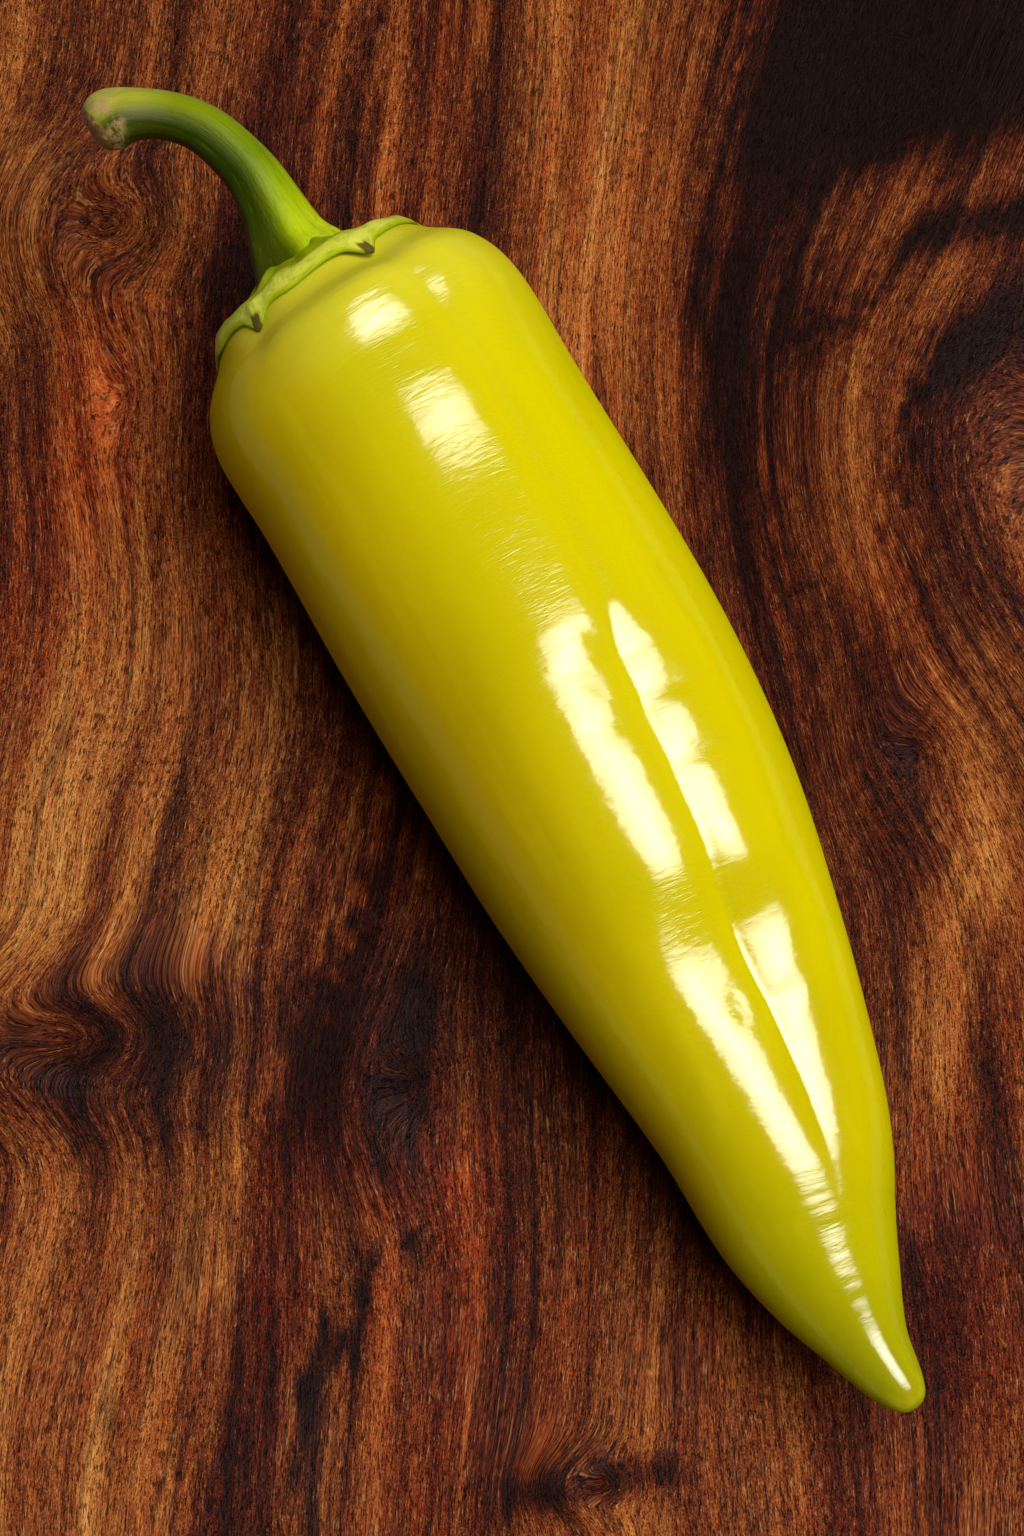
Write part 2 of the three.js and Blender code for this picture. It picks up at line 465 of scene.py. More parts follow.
def add_piece(piece, node, material):
    """Give a visible piece its material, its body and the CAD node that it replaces."""
    piece.data.materials.append(material)
    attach(piece, ROOT)
    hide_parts(node)


# ---------------------------------------------------------------- calyx and stem

CALYX_SIDES = 240
OUTER_RINGS = 56
RIM_STEPS = 8
INNER_RINGS = 24
# The outer rings stand a little closer together towards the rim.
OUTER_CROWDING = 0.8
# Only the shoulder, up to this radius, is needed to seat the cap.
SHOULDER_RADIUS = 19

CALYX_RIM = 14.2
CALYX_RIM_THICKNESS = 0.9
CALYX_GAP = 0.05
THICKNESS_STEPS = 400
# How thick the cap is: [radius, thickness].
CALYX_THICKNESS = [
    [0, 5.0],
    [5, 5.0],
    [6.5, 4.4],
    [8, 3.5],
    [10, 2.4],
    [12, 1.5],
    [14, 0.8],
    [17, 0.5],
]

# The rim: how uneven it is, and how far it is lifted off the shoulder between the teeth.
RIM_STARTS = (8, 12.5)
RIM_RAGGED = 0.25
RIM_LIFT = 0.15
RIM_WAVE = 0.1
# The raised bead just inside it, placed by the share of the cap's radius.
BEAD_HEIGHT = 0.25
BEAD_SHARE = (0.94, 0.05)

TOOTH_LENGTH = 1.2
TOOTH_HALF_DEGREES = 9
TOOTH_POWER = 1.4
# The dry points set in over this part of a tooth's outline, and over this share of the cap's radius.
DRY_TOOTH = (0.5, 0.8)
DRY_SHARE = (0.95, 0.99)

# A vein runs out to each tooth, with a hollow between the veins, and soft folds lie over both.
VEIN_HEIGHT = 0.55
VEIN_HALF_DEGREES = 6
HOLLOW_DEPTH = 0.25
HOLLOW_DEGREES = np.array(TOOTH_DEGREES) + 30
HOLLOW_HALF_DEGREES = 7
FOLD_HEIGHT = 0.2
VEIN_STARTS = (4, 7)
VEIN_ENDS_SHARE = (0.9, 1)


def tooth_shape(degrees):
    """1 at the point of a tooth, falling to 0 between teeth."""
    apart = np.min([np.abs(degrees_apart(degrees, tooth)) for tooth in TOOTH_DEGREES], axis=0)
    return np.clip(1 - apart / TOOTH_HALF_DEGREES, 0, 1) ** TOOTH_POWER


def calyx_section():
    """For each ring: its share of the cap's radius, outer (0) or inner (1) face, and bulge of the rim."""
    outer = np.linspace(0, 1, OUTER_RINGS) ** OUTER_CROWDING
    rim = np.linspace(0, math.pi, RIM_STEPS + 1)[1:-1]
    inner = np.linspace(1, 0, INNER_RINGS)
    share = np.r_[outer, np.ones(len(rim)), inner]
    face = np.r_[np.zeros(len(outer)), (1 - np.cos(rim)) / 2, np.ones(len(inner))]
    bulge = np.r_[np.zeros(len(outer)), np.sin(rim), np.zeros(len(inner))]
    return share, face, bulge


def calyx_relief(radius, share, angle):
    """How far the outer face of the cap stands out beyond its plain thickness."""
    degrees = np.degrees(angle)
    veins = VEIN_HEIGHT * humps_round(degrees, TOOTH_DEGREES, VEIN_HALF_DEGREES)
    hollows = HOLLOW_DEPTH * humps_round(degrees, HOLLOW_DEGREES, HOLLOW_HALF_DEGREES)
    plan = np.stack([radius * np.cos(angle), radius * np.sin(angle)], -1)
    folds = FOLD_HEIGHT * waves(plan, [0.09, 0.09], 8)
    veined = smoothstep(radius, *VEIN_STARTS) * (1 - smoothstep(share, *VEIN_ENDS_SHARE))
    bead = BEAD_HEIGHT * hump(share, *BEAD_SHARE) * smoothstep(radius, *RIM_STARTS)
    return (veins - hollows + folds) * veined + bead


def calyx_surface():
    """Points of the cap in the pepper's frame, and the fields that its material reads."""
    outline = spline(FRUIT_OUTLINE, OUTLINE_STEPS, straight_ends=False)
    shoulder = outline[: np.argmax(outline[:, 1] > SHOULDER_RADIUS)]
    share, face, bulge, angle = rings_round(calyx_section(), CALYX_SIDES)
    degrees = np.degrees(angle)
    tooth = tooth_shape(degrees)
    ragged = RIM_RAGGED * waves(np.stack([np.cos(angle), np.sin(angle)], -1), [1.1, 1.1], 5)
    radius = share * (CALYX_RIM + TOOTH_LENGTH * tooth + ragged) + CALYX_RIM_THICKNESS / 2 * bulge
    thickness = np.interp(radius, *spline(CALYX_THICKNESS, THICKNESS_STEPS, straight_ends=False).T)
    seat = np.interp(radius, shoulder[:, 1], shoulder[:, 0]) + fruit_notch(0, radius, degrees)
    uneven = RIM_LIFT * (1 - tooth) + RIM_WAVE * ragged
    lift = CALYX_GAP + smoothstep(radius, *RIM_STARTS) * uneven
    along = seat - lift - (1 - face) * (thickness + calyx_relief(radius, share, angle))
    surface = CentreLine(FRUIT_CENTRE_LINE).around(along, radius, angle)
    tip = smoothstep(tooth, *DRY_TOOTH) * smoothstep(share, *DRY_SHARE)
    outwards = radius * (1 - face) + face
    return surface, {"straight": straightened(outwards, radius, angle), "tip": tip[..., None]}


STEM_SIDES = 128
STEM_RING_SPACING = 0.3
STEM_RADIUS = 4
# The colours of the stalk change over this length.
STEM_COLOURED = 34
# The foot runs on into the cap by this length, a little wider than it starts.
STEM_ROOT = 1.2
STEM_ROOT_RADII = (7, 6.9)
# The ribs stand out more over the foot, and the knob at the cut end is uneven.
FOOT_LENGTH = 9
RIB_HEIGHT = 0.05
FOOT_RIB_HEIGHT = 0.2
KNOB = (29, 32)
KNOB_UNEVEN = 0.35
STEM_UNEVEN = 0.14
# The cut end is a low dome, and its colour runs over the last rings of the knob.
DOME_RINGS = 12
DOME_HEIGHT = 0.2
CUT_RINGS = 4


def stem_surface():
    """Points of the stem in the pepper's frame, and the fields that its material reads."""
    outline = spline(STEM_OUTLINE, OUTLINE_STEPS // 2, straight_ends=False)
    root = [[-STEM_ROOT, 0], [-STEM_ROOT, STEM_ROOT_RADII[0]], [-STEM_ROOT / 2, STEM_ROOT_RADII[1]]]
    outline = np.vstack([root, outline])
    end, end_radius = outline[-1]
    inwards = np.linspace(0, 1, DOME_RINGS)[1:, None]
    dome = np.hstack([end + DOME_HEIGHT * np.sin(inwards * math.pi / 2), end_radius * (1 - inwards)])
    rings = np.vstack([outline[:1], evenly_spaced(outline[1:], STEM_RING_SPACING), dome])
    along, radius, angle = rings_round(rings.T, STEM_SIDES)
    # Five ribs and eleven finer ones turn slowly round the stalk.
    ribs = np.cos(5 * angle + 0.04 * along + 0.6) + 0.45 * np.cos(11 * angle - 0.02 * along)
    rib_height = RIB_HEIGHT + FOOT_RIB_HEIGHT * (1 - smoothstep(along, 0, FOOT_LENGTH))
    places = np.stack([along, STEM_RADIUS * np.cos(angle), STEM_RADIUS * np.sin(angle)], -1)
    relief = ribs * rib_height + STEM_UNEVEN * waves(places, [0.03, 0.05, 0.05], 3)
    relief += KNOB_UNEVEN * smoothstep(along, *KNOB) * waves(places, [0.12, 0.1, 0.1], 11)
    shaped = np.maximum(radius + relief * smoothstep(radius, 0, POLE_RADIUS), 0)
    shaped[[0, -1]] = 0
    surface = CentreLine(STEM_PATH).around(along, shaped, angle)
    cut = np.zeros(along.shape)
    cut[-len(dome) - CUT_RINGS :] = 1
    return surface, {"straight": straightened(along, radius, angle), "cut": cut[..., None]}


# ---------------------------------------------------------------- board

# Radii of the corners in plan and of the softened edges.
BOARD_CORNER = 12
BOARD_EDGE = 2.5
# Size of the mesh's squares, and the finer steps close to the edges.
BOARD_STEP = 1.2
EDGE_ZONE = 3
EDGE_STEPS = 9

# The plank's grain runs in rings about these knots: [x, y, half width, half length, strength].
KNOTS = [
    [-54, -40, 20, 9, 0.7],
    [-13, -46, 8, 11, 0.7],
    [10, -94, 6, 3.5, 0.9],
    [-52, 68, 12, 11, 0.85],
    [-50, 44, 7, 13, 0.5],
    [50, -3, 8, 11, 0.8],
    [86, 44, 44, 46, 0.85],
]

# Where the grain leans, its upper end to the right: [x, y, half width, half length, lean].
LEANS = [
    [-40, -8, 36, 30, 0.22],
    [-24, -52, 16, 26, 0.16],
    [-45, -88, 26, 26, 0.12],
    [48, -45, 22, 26, 0.12],
    [44, 58, 24, 34, 0.2],
    [8, -80, 16, 26, 0.1],
]

# Figure of the plank: [x from, y from, x to, y to, half width, pale (+) or dark (-), red].
FIGURE = [
    [-56, -22, -42, 16, 13, 0.25, 0],
    [-36, -26, -27, 8, 6, 0.22, -0.1],
    [-62, 14, -56, 50, 8, 0.06, 0.35],
    [-50, 34, -50, 56, 6, 0.12, 0.35],
    [-40, 30, -37, 60, 5, -0.22, 0.1],
    [-62, -43, -40, -39, 9, -0.32, -0.1],
    [-35, -70, -18, -9, 1.3, 0.2, 0],
    [-50, -52, -34, -50, 5, -0.12, -0.15],
    [-15, -50, -13, -38, 6, -0.38, 0.05],
    [-15, -58, -12, -53, 4, 0.04, 0.45],
    [-9, -66, -5, -56, 4, 0.07, 0.25],
    [-19, -22, -24, -46, 4, -0.2, 0.3],
    [-24, -46, -31, -84, 4, -0.14, 0.5],
    [-32, -84, -35, -127, 5, -0.14, 0.25],
    [-57, -66, -60, -118, 9, 0.12, 0.1],
    [-43, -76, -45, -108, 4, 0.14, 0.15],
    [-15, -66, -23, -82, 1, -0.4, -0.2],
    [-23, -82, -26, -120, 1, -0.42, -0.2],
    [-6, -62, -12, -104, 7, -0.03, 0.4],
    [6, -66, 3, -88, 4, -0.04, 0.25],
    [3, -95, 15, -93, 2.6, -0.4, 0],
    [24, -76, 18, -112, 6, 0.1, 0.1],
    [66, -60, 62, -110, 5, 0.1, 0.1],
    [8, -104, 12, -127, 10, 0.1, 0.1],
    [46, -66, 42, -116, 11, -0.04, 0.25],
    [60, -34, 54, -80, 5, -0.1, 0.4],
    [49, -58, 55, -22, 3.4, 0.26, -0.05],
    [57, -20, 60, 6, 4, 0.12, 0],
    [48, -14, 48, 6, 6, -0.22, 0.05],
    [40, 24, 54, 8, 3, 0.1, 0.1],
    [34, -4, 31, 40, 5, -0.2, 0.2],
    [26, 6, 27, 60, 4, -0.24, 0.1],
    [30, 56, 38, 110, 8, -0.3, 0.1],
    [8, 44, 10, 110, 7, 0.2, 0.25],
    [20, 44, 21, 110, 4, 0.06, 0.1],
    [-9, 72, -7, 110, 6, -0.1, 0.35],
    [-21, 64, -14, 108, 1.8, -0.3, 0.1],
    [-31, 70, -28, 110, 6, -0.08, 0.35],
    [-37, 50, -33, 72, 4, -0.16, 0.3],
    [-65, 56, -63, 76, 4, 0.26, -0.3],
    [-58, 86, -54, 110, 6, -0.04, -0.05],
    [-56, 62, -44, 76, 8, -0.12, -0.1],
    # These rows make the board darker towards its far right corner.
    [72, 54, 74, 110, 22, -0.15, 0],
    [34, 84, 44, 112, 6, -0.24, 0],
    [46, 92, 70, 122, 9, -0.4, 0],
    [52, 86, 88, 92, 8, -0.5, 0],
    [66, 104, 88, 108, 12, -0.4, 0],
    [35, 50, 40, 74, 1.6, -0.22, 0.1],
    [40, 74, 54, 84, 2, -0.28, 0],
    [43, 54, 52, 66, 2, -0.32, 0],
    [52, 66, 86, 76, 2.6, -0.4, 0],
    [48, 27, 51, 43, 1.2, -0.3, 0],
    [51, 43, 58, 51, 1.5, -0.3, 0],
    [60, 52, 86, 62, 4.5, -0.45, 0],
    [52, 40, 48, 18, 6, -0.06, 0.25],
    [-20, 0, 30, -60, 22, -0.12, 0.05],
]


def board_points(x, y, z, half, height):
    """Points of a plain box, moved to where they lie on the board with its round corners and edges."""
    inner = half - BOARD_CORNER
    core = np.stack([np.clip(x, -inner[0], inner[0]), np.clip(y, -inner[1], inner[1])], -1)
    off = np.stack([x, y], -1) - core
    reach = np.linalg.norm(off, axis=-1)
    straight = np.abs(off).max(-1)
    outward = off / np.maximum(reach, 1e-9)[..., None]
    inset = BOARD_CORNER - straight
    a = np.clip(BOARD_EDGE - inset, 0, None)
    above = z - height / 2
    b = np.clip(np.abs(above) - (height / 2 - BOARD_EDGE), 0, None)
    rounded = np.maximum(a, b) / np.maximum(np.hypot(a, b), 1e-9)
    pulled = straight - (a - a * rounded)
    plan = core + outward * pulled[..., None]
    level = z - np.sign(above) * (b - b * rounded)
    return np.concatenate([plan, level[..., None]], -1)


def edge_spaced(low, high, step):
    """Even steps, and finer ones near both ends, where the edges are rounded."""
    start = low + np.linspace(0, EDGE_ZONE, EDGE_STEPS, endpoint=False)
    plain = high - low - 2 * EDGE_ZONE
    middle = np.linspace(low + EDGE_ZONE, high - EDGE_ZONE, int(round(plain / step)) + 1)
    return np.r_[start, middle, (low + high - start)[::-1]]


def board_mesh(name, half, height):
    """One closed skin of box faces, welded along the edges."""
    xs, ys = (edge_spaced(-extent, extent, BOARD_STEP) for extent in half)
    zs = edge_spaced(0, height, BOARD_STEP)
    index = {}
    places = []
    faces = []

    def vertex(i, j, k):
        key = (i, j, k)
        if key not in index:
            index[key] = len(places)
            places.append((xs[i], ys[j], zs[k]))
        return index[key]

    last = (len(xs) - 1, len(ys) - 1, len(zs) - 1)
    for axis in range(3):
        u, v = (axis + 1) % 3, (axis + 2) % 3
        for end in (0, last[axis]):
            for p in range(last[u]):
                for q in range(last[v]):
                    square = []
                    for dp, dq in ((0, 0), (1, 0), (1, 1), (0, 1)):
                        corner = [0, 0, 0]
                        corner[axis], corner[u], corner[v] = end, p + dp, q + dq
                        square.append(vertex(*corner))
                    faces.append(square if end else square[::-1])
    x, y, z = np.array(places).T
    vertices = board_points(x, y, z, half, height)
    across, along, pale, red = board_grain(vertices[:, 0], vertices[:, 1], vertices[:, 2])
    grain = np.stack([across, along, vertices[:, 2]], -1)
    fields = {"grain": grain, "pale": pale[:, None], "red": red[:, None]}
    return make_mesh(name, vertices, faces, fields)


# The whole grain's slope across the board, its slope into the depth, and the knots' slope into the depth.
GRAIN_TILT = 0.05
GRAIN_DIVE = 0.3
KNOT_DIVE = 0.1
# Softens the turn of the grain across a knot's middle.
KNOT_CORE = 2
# The share of the figure's sideways wandering that also runs lengthwise.
RAGGED_UP = 0.7
# A streak of the figure fades out at its ends over this many half widths.
STREAK_ENDS = 1.8


def board_grain(x, y, z):
    """Places across and along the bending grain, and how pale and how red the wood is there."""
    depth = BOARD_TOP - z
    plan = np.stack([x, y], -1)
    across = x - GRAIN_TILT * y + GRAIN_DIVE * depth
    for place_x, place_y, half_x, half_y, lean in LEANS:
        dx, dy = x - place_x, y - place_y
        across = across - lean * dy * np.exp(-((dx / half_x) ** 2) - (dy / half_y) ** 2)
    along = y + 3 * waves(plan, [0.02, 0.02], 22)
    for place_x, place_y, half_x, half_y, strength in KNOTS:
        dx, dy = x - place_x - KNOT_DIVE * depth, y - place_y
        share = strength * np.exp(-((dx / half_x) ** 2) - (dy / half_y) ** 2)
        rings = np.hypot(dx, dy * half_x / half_y)
        across = across + share * (rings - dx)
        along = along + share * (half_x * np.arctan2(dy, np.abs(dx) + KNOT_CORE) - dy)
    across = across + 2 * waves(plan, [0.012, 0.008], 21)
    fibres = np.stack([across, along], -1)
    ragged = 1.8 * waves(fibres, [0.16, 0.012], 31) + 1.2 * waves(fibres, [0.45, 0.02], 32)
    pale, red = np.zeros_like(x), np.zeros_like(x)
    for x0, y0, x1, y1, half_width, paler, redder in FIGURE:
        step = np.array([x1 - x0, y1 - y0], float)
        length = np.linalg.norm(step)
        step /= length
        run = (x + ragged - x0) * step[0] + (y + RAGGED_UP * ragged - y0) * step[1]
        off = (x + ragged - x0) * step[1] - (y - y0) * step[0]
        beyond = run - np.clip(run, 0, length)
        near = np.exp(-((off / half_width) ** 2) - (beyond / (STREAK_ENDS * half_width)) ** 2)
        pale, red = pale + paler * near, red + redder * near
    bands = 0.1 * waves(fibres, [0.08, 0.004], 41) + 0.08 * waves(fibres, [0.25, 0.008], 42)
    return across, along, pale + bands, red


# ---------------------------------------------------------------- materials


def colour(code):
    """A shader colour from a six-digit web colour."""
    parts = [int(code[k : k + 2], 16) / 255 for k in (0, 2, 4)]
    linear = [c / 12.92 if c <= 0.04045 else ((c + 0.055) / 1.055) ** 2.4 for c in parts]
    return (*linear, 1)


class Shader:
    """A material's node tree, with one short call for each kind of node."""

    def __init__(self, name, **surface):
        self.material = bpy.data.materials.new(name)
        self.material.use_nodes = True
        self.tree = self.material.node_tree
        self.surface = self.tree.nodes["Principled BSDF"]
        self.set(self.surface, surface)

    def set(self, made, inputs):
        for key, value in inputs.items():
            socket = made.inputs[key.replace("_", " ") if isinstance(key, str) else key]
            if isinstance(value, bpy.types.NodeSocket):
                self.tree.links.new(value, socket)
            else:
                socket.default_value = value
        return made

    def node(self, kind, inputs, **settings):
        made = self.tree.nodes.new("ShaderNode" + kind)
        for key, value in settings.items():
            setattr(made, key, value)
        return self.set(made, inputs)

    def field(self, name):
        """A value that the mesh carries at its vertices."""
        return self.node("Attribute", {}, attribute_name=name)

    def stretched(self, vector, scale):
        return self.node("VectorMath", {0: vector, 1: scale}, operation="MULTIPLY").outputs[0]

    def noise(self, vector, scale, detail=2, roughness=0.5, distortion=0):
        """Noise between 0 and 1, with a scale for each axis."""
        inputs = {"Vector": self.stretched(vector, scale), "Scale": 1, "Detail": detail}
        inputs.update(Roughness=roughness, Distortion=distortion)
        return self.node("TexNoise", inputs).outputs[0]

    def maths(self, operation, *values, clamp=False):
        return self.node("Math", dict(enumerate(values)), operation=operation, use_clamp=clamp).outputs[0]

    def fitted(self, value, low, high, to_low=0, to_high=1):
        """value, with low and high moved smoothly to to_low and to_high, and held there beyond them."""
        inputs = {"Value": value, "From Min": low, "From Max": high, "To Min": to_low, "To Max": to_high}
        return self.node("MapRange", inputs, interpolation_type="SMOOTHSTEP").outputs[0]

    def ramp(self, value, stops):
        """A colour for the value, from stops of (value, web colour)."""
        made = self.node("ValToRGB", {"Fac": value})
        elements = made.color_ramp.elements
        while len(elements) < len(stops):
            elements.new(0.5)
        for element, (position, code) in zip(elements, stops):
            element.position = position
            element.color = colour(code)
        return made.outputs[0]

    def mix(self, share, first, second, blend="MIX"):
        """The first colour with this share of the second, each a socket or a web colour."""
        first, second = (colour(c) if isinstance(c, str) else c for c in (first, second))
        made = self.node("Mix", {0: share, 6: first, 7: second}, data_type="RGBA", blend_type=blend)
        return made.outputs[2]

    def bump(self, height, distance, under=None):
        """A normal for this height, scaled to this many millimetres, on top of the one given."""
        inputs = {"Height": height, "Distance": distance * MM, "Strength": 1}
        if under is not None:
            inputs["Normal"] = under
        return self.node("Bump", inputs).outputs[0]

    def finish(self, base, roughness, normal):
        self.set(self.surface, {"Base Color": base, "Roughness": roughness, "Normal": normal})
        return self.material


def skin_material():
    """Waxy yellow skin under a clear gloss, greener at the tip, with painted shade on its lower flank and
    fine wrinkles that run round it.
    """
    s = Shader(
        "pepper_skin",
        Subsurface_Weight=0.3,
        Subsurface_Radius=(1.0, 0.5, 0.03),
        Subsurface_Scale=0.003,
        IOR=1.45,
        Specular_IOR_Level=0,
        Coat_Roughness=0.14,
        Coat_IOR=1.85,
    )
    place = s.field("straight").outputs["Vector"]
    along, side, _ = s.node("SeparateXYZ", {0: place}).outputs
    shoulder = [(0, "d6ce30"), (0.03, "d6cc10"), (0.1, "d6ca00"), (0.35, "d4c600")]
    tip = [(0.75, "d2c400"), (0.88, "cabc00"), (0.97, "b8b200"), (1, "a09e06")]
    base = s.ramp(s.fitted(along, 0, FRUIT_LENGTH), shoulder + tip)
    # Painted shade: the lower flank, turned away from the light, is made darker and more golden.
    base = s.mix(s.fitted(side, -5, -19, 0, 0.7), base, "c89c00")
    clouds = s.noise(place, (0.03, 0.07, 0.07), 3)
    base = s.mix(s.fitted(clouds, 0.4, 0.75, 0, 0.45), base, "c0b000")
    streaks = s.noise(place, (0.02, 0.35, 0.35), 2)
    base = s.mix(s.fitted(streaks, 0.5, 0.8, 0, 0.3), base, "dcd018")
    crinkles = s.noise(place, (2.3, 0.42, 0.42), 2, 0.6, 0.6)
    where = s.fitted(s.noise(place, (0.09, 0.2, 0.2), 2), 0.3, 0.7, 0.35, 1)
    crinkles = s.maths("MULTIPLY", crinkles, where)
    dimples = s.noise(place, (0.5, 0.3, 0.3), 2)
    normal = s.bump(dimples, 0.08, s.bump(crinkles, 0.05))
    facing = s.node("LayerWeight", {"Blend": 0.5, "Normal": normal}).outputs["Facing"]
    gloss = s.fitted(facing, 0.1, 0.32, 1, 0.15)
    s.set(s.surface, {"Coat Normal": normal, "Coat Weight": gloss})
    return s.finish(base, s.fitted(crinkles, 0.2, 0.7, 0.25, 0.4), normal)


def calyx_material():
    """Pale green cap, deeper green nearer the stem, with darker mottling and dry brown points."""
    s = Shader(
        "pepper_calyx",
        Subsurface_Weight=0.1,
        Subsurface_Radius=(0.6, 1.0, 0.2),
        Subsurface_Scale=0.0015,
        Specular_IOR_Level=0.2,
    )
    place = s.field("straight").outputs["Vector"]
    tip = s.field("tip").outputs["Fac"]
    radius = s.node("SeparateXYZ", {0: place}).outputs[0]
    stops = [(0, "9cae00"), (0.4, "b0c208"), (0.85, "c6d21c"), (1, "dade54")]
    base = s.ramp(s.fitted(radius, 5, 15), stops)
    mottle = s.noise(place, (0.5, 0.5, 0.5), 4, 0.6)
    base = s.mix(s.fitted(mottle, 0.45, 0.7, 0, 0.55), base, "869a04")
    base = s.mix(s.fitted(tip, 0.2, 0.7, 0, 0.9), base, "4e3612")
    height = s.maths("ADD", s.maths("MULTIPLY", mottle, 0.6), s.noise(place, (2.5, 2.5, 2.5), 3))
    return s.finish(base, s.fitted(mottle, 0.3, 0.7, 0.28, 0.45), s.bump(height, 0.12))


def stem_material():
    """Green streaked stalk with painted shade on its side away from the light, a paler foot and a dry
    brownish cut.
    """
    s = Shader(
        "pepper_stem",
        Subsurface_Weight=0.05,
        Subsurface_Radius=(0.5, 1.0, 0.15),
        Subsurface_Scale=0.0012,
        Specular_IOR_Level=0.12,
    )
    place = s.field("straight").outputs["Vector"]
    cut = s.field("cut").outputs["Fac"]
    along, side, _ = s.node("SeparateXYZ", {0: place}).outputs
    stops = [(0, "b8ca14"), (0.12, "9ab000"), (0.35, "6e8400"), (0.8, "7e8e00"), (1, "b0ae3c")]
    base = s.ramp(s.fitted(along, 0, STEM_COLOURED), stops)
    # Painted shade: the side of the stalk turned away from the light is darkened in its colour.
    base = s.mix(s.fitted(side, -1.2, 2.2, 0, 0.9), base, "162200")
    lines = s.noise(place, (0.05, 1.3, 1.3), 4, 0.65)
    base = s.mix(s.fitted(lines, 0.5, 0.72, 0, 0.35), base, "344c00")
    base = s.mix(s.fitted(lines, 0.45, 0.25, 0, 0.25), base, "94ac10")
    spots = s.noise(place, (0.5, 0.5, 0.5), 4, 0.7)
    dry = s.maths("MULTIPLY", s.fitted(along, 29.5, 32.5), s.fitted(spots, 0.42, 0.62), clamp=True)
    base = s.mix(dry, base, "a5885a")
    blotches = s.noise(place, (1.2, 1.2, 1.2), 4, 0.7)
    face = s.ramp(blotches, [(0.3, "5e3420"), (0.55, "96703c"), (0.75, "b8b070")])
    base = s.mix(cut, base, face)
    height = s.maths("ADD", lines, s.maths("MULTIPLY", spots, 0.5))
    return s.finish(base, s.fitted(lines, 0.3, 0.7, 0.3, 0.42), s.bump(height, 0.16))


def wood_material():
    """Dark figured hardwood: bands, streaks, dark veins and fibres all follow the bending grain, with
    painted glints along the fibres.
    """
    s = Shader("board_wood", IOR=1.45, Specular_IOR_Level=0.1)
    grain = s.field("grain").outputs["Vector"]
    pale = s.field("pale").outputs["Fac"]
    red = s.field("red").outputs["Fac"]
    bands = s.noise(grain, (0.25, 0.01, 0.25), 4, 0.6)
    streaks = s.noise(grain, (0.9, 0.035, 0.9), 4, 0.6)
    fibres = s.noise(grain, (3.0, 0.3, 3.0), 3, 0.65)
    grit = s.noise(grain, (6.5, 2.6, 6.5), 2, 0.6)
    tone = s.maths("ADD", pale, 0.4)
    for field, amount in ((bands, 0.5), (streaks, 0.62), (fibres, 0.8), (grit, 0.95)):
        tone = s.maths("MULTIPLY_ADD", s.maths("SUBTRACT", field, 0.5), amount, tone)
    dark = [(0, "180605"), (0.12, "36120a"), (0.28, "56220e")]
    light = [(0.45, "7e3e18"), (0.62, "a45f28"), (0.8, "c88640"), (1, "e0aa6a")]
    base = s.ramp(tone, dark + light)
    reds = s.noise(grain, (0.4, 0.02, 0.4), 3)
    ruddy = s.maths("ADD", red, s.maths("MULTIPLY", s.maths("SUBTRACT", reds, 0.46), 1.1), clamp=True)
    base = s.mix(s.maths("MULTIPLY", ruddy, 0.85, clamp=True), base, s.mix(1, base, "ff7040", "MULTIPLY"))
    edge = s.maths("ABSOLUTE", s.maths("SUBTRACT", s.noise(grain, (0.16, 0.006, 0.16), 2, 0.5), 0.5))
    vein = s.fitted(edge, 0.002, 0.02, 0.5, 0)
    base = s.mix(vein, base, "1c0a0a")
    pores = s.fitted(s.noise(grain, (4.6, 0.7, 4.6), 2, 0.5), 0.56, 0.65, 0, 0.75)
    base = s.mix(pores, base, "120707")
    # Painted glints: short light flecks along the fibres, more of them where the wood is paler.
    painted_glints = s.fitted(s.noise(grain, (5.5, 0.45, 5.5), 2, 0.5), 0.56, 0.72, 0, 0.5)
    painted_glints = s.maths("MULTIPLY", painted_glints, s.fitted(tone, 0.1, 0.5, 0.04, 1))
    base = s.mix(painted_glints, base, "d89c62")
    height = s.maths("SUBTRACT", s.maths("ADD", fibres, s.maths("ADD", grit, streaks)), pores)
    rough = s.fitted(fibres, 0.3, 0.7, 0.28, 0.45)
    return s.finish(base, rough, s.bump(height, 0.16))


def floor_material():
    """Plain pale grey, faintly mottled and quite matt."""
    s = Shader("studio_floor")
    place = s.node("TexCoord", {}).outputs["Object"]
    base = s.mix(s.noise(place, (3, 3, 3), 4), "b8b6b2", "c2c0bc")
    return s.finish(base, 0.8, s.bump(s.noise(place, (900, 900, 900), 2), 0.03))


# ---------------------------------------------------------------- the object

# Name, CAD node, function that shapes it, slot and function that makes its material.
ROUND_PIECES = [
    ("pepper_fruit", "fruit", fruit_surface, "pepper_skin", skin_material),
    ("pepper_calyx", "calyx", calyx_surface, "pepper_calyx", calyx_material),
    ("pepper_stem", "stem", stem_surface, "pepper_stem", stem_material),
]

for name, node, shape, slot, material in ROUND_PIECES:
    surface, fields = shape()
    add_piece(lathed_mesh(name, pepper_to_world(surface), fields), node, material())

board = board_mesh("wood_board", BOARD_HIGH[:2], BOARD_TOP)
add_piece(board, "board", wood_material())

# ---------------------------------------------------------------- studio

# Lengths in this section are metres, unless a name says otherwise.
FLOOR_HALF = 3.0
FLOOR_DROP = 0.0005

CAMERA_TARGET = Vector((0, -0.0125, 0.039))
CAMERA_ELEVATION = math.radians(72)
CAMERA_DISTANCE = 0.505
CAMERA_LENS_MM = 100
CAMERA_SENSOR_MM = 36

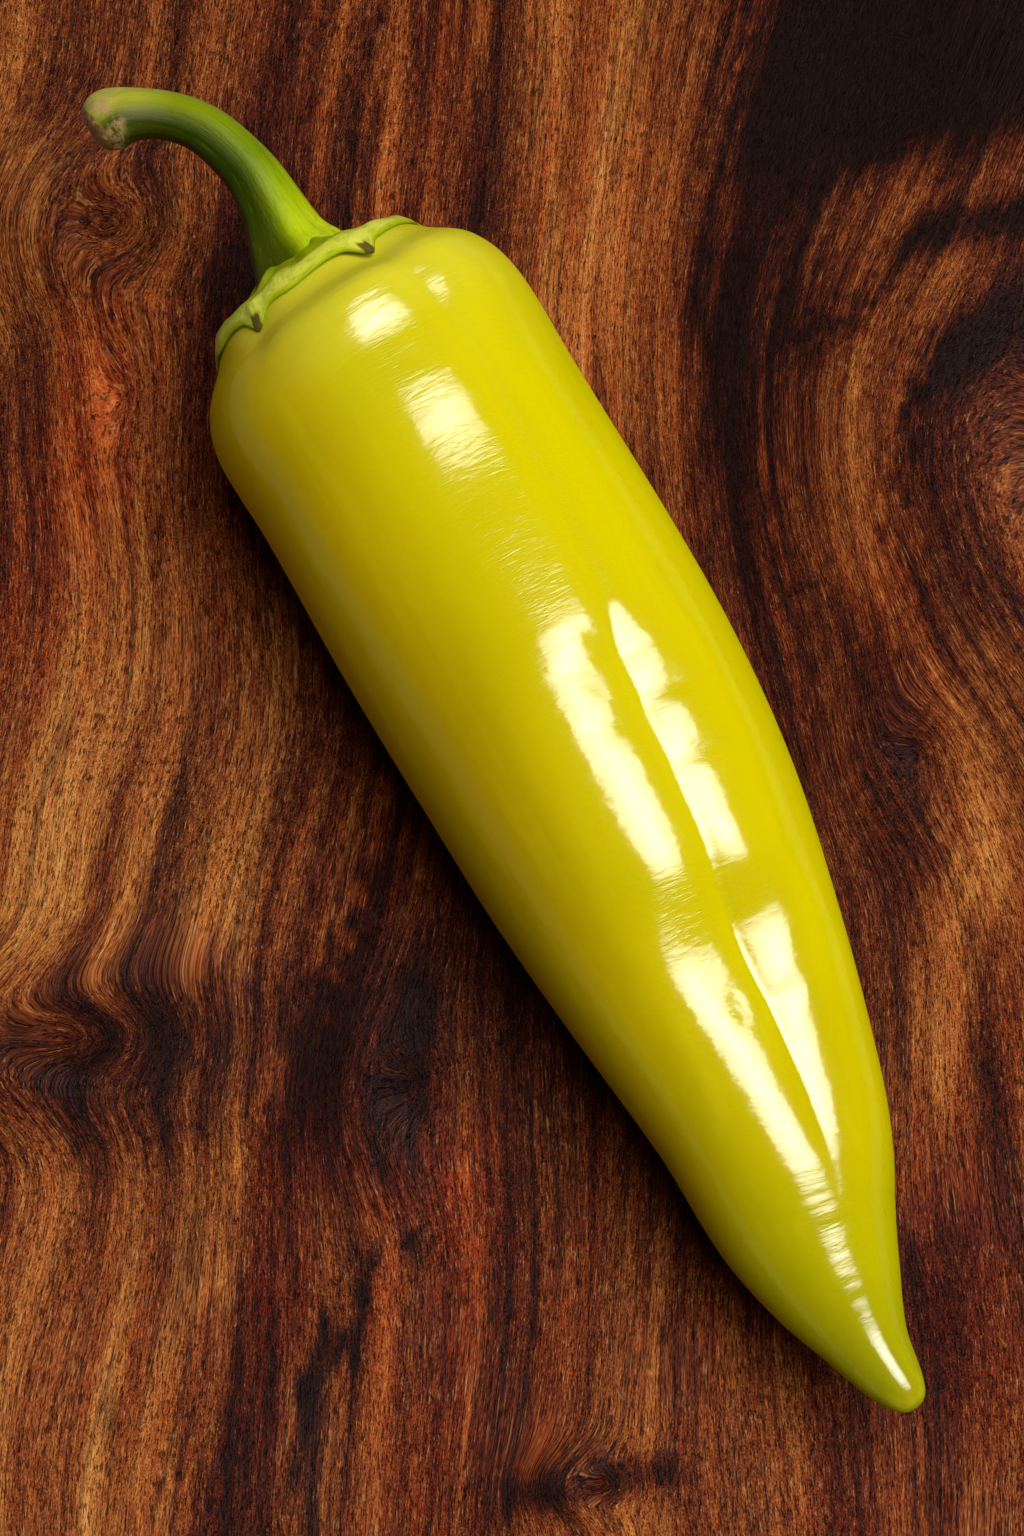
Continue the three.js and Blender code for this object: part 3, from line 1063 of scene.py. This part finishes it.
# Leaning of the light from overhead, in degrees: towards the tip and across the fruit.
KEY_ALONG = 9.5
KEY_ACROSS = 17.5
KEY_DISTANCE = 0.85
KEY_SIZE = (0.86, 0.68)
KEY_WATTS = 2.6
KEY_TINT = (1, 0.96, 0.88)
KEY_SPREAD_DEGREES = 70

WORLD_TINT = (1, 0.95, 0.9)
WORLD_STRENGTH = 0.014


def make_floor():
    """A plain floor, just under the board."""
    square = ((-1, -1), (1, -1), (1, 1), (-1, 1))
    corners = [(x * FLOOR_HALF, y * FLOOR_HALF, -FLOOR_DROP) for x, y in square]
    mesh = bpy.data.meshes.new("studio_floor")
    mesh.from_pydata(corners, [], [(0, 1, 2, 3)])
    mesh.materials.append(floor_material())
    floor = bpy.data.objects.new("studio_floor", mesh)
    bpy.context.scene.collection.objects.link(floor)


def make_soft_light():
    """A window-like panel overhead, leaning to the right, its long side lined up with the fruit."""
    along = Vector((math.cos(PEPPER_TURN), math.sin(PEPPER_TURN), 0))
    across = Vector((-math.sin(PEPPER_TURN), math.cos(PEPPER_TURN), 0))
    up = Vector((0, 0, 1))
    back = along * math.tan(math.radians(KEY_ALONG)) + across * math.tan(math.radians(KEY_ACROSS)) + up
    back.normalize()
    long_side = (along - back * along.dot(back)).normalized()
    data = bpy.data.lights.new("key", "AREA")
    data.shape = "RECTANGLE"
    data.size, data.size_y = KEY_SIZE
    data.energy = KEY_WATTS
    data.color = KEY_TINT
    data.spread = math.radians(KEY_SPREAD_DEGREES)
    light = bpy.data.objects.new("key", data)
    turned = Matrix((long_side, back.cross(long_side), back)).transposed()
    light.matrix_world = Matrix.Translation(CAMERA_TARGET + back * KEY_DISTANCE) @ turned.to_4x4()
    bpy.context.scene.collection.objects.link(light)


def make_world():
    """A faint, even light from all round."""
    world = bpy.data.worlds.new("studio")
    world.use_nodes = True
    background = world.node_tree.nodes["Background"]
    background.inputs["Color"].default_value = (*WORLD_TINT, 1)
    background.inputs["Strength"].default_value = WORLD_STRENGTH
    bpy.context.scene.world = world


def make_camera():
    """The photo's view, steeply down from the near side of the board."""
    data = bpy.data.cameras.new("camera")
    data.lens = CAMERA_LENS_MM
    data.sensor_width = CAMERA_SENSOR_MM
    back = Vector((0, -math.cos(CAMERA_ELEVATION), math.sin(CAMERA_ELEVATION)))
    camera = bpy.data.objects.new("camera", data)
    camera.location = CAMERA_TARGET + back * CAMERA_DISTANCE
    camera.rotation_euler = (math.pi / 2 - CAMERA_ELEVATION, 0, 0)
    bpy.context.scene.collection.objects.link(camera)
    bpy.context.scene.camera = camera


make_floor()
make_soft_light()
make_world()
make_camera()
bpy.context.scene.view_settings.view_transform = "Standard"
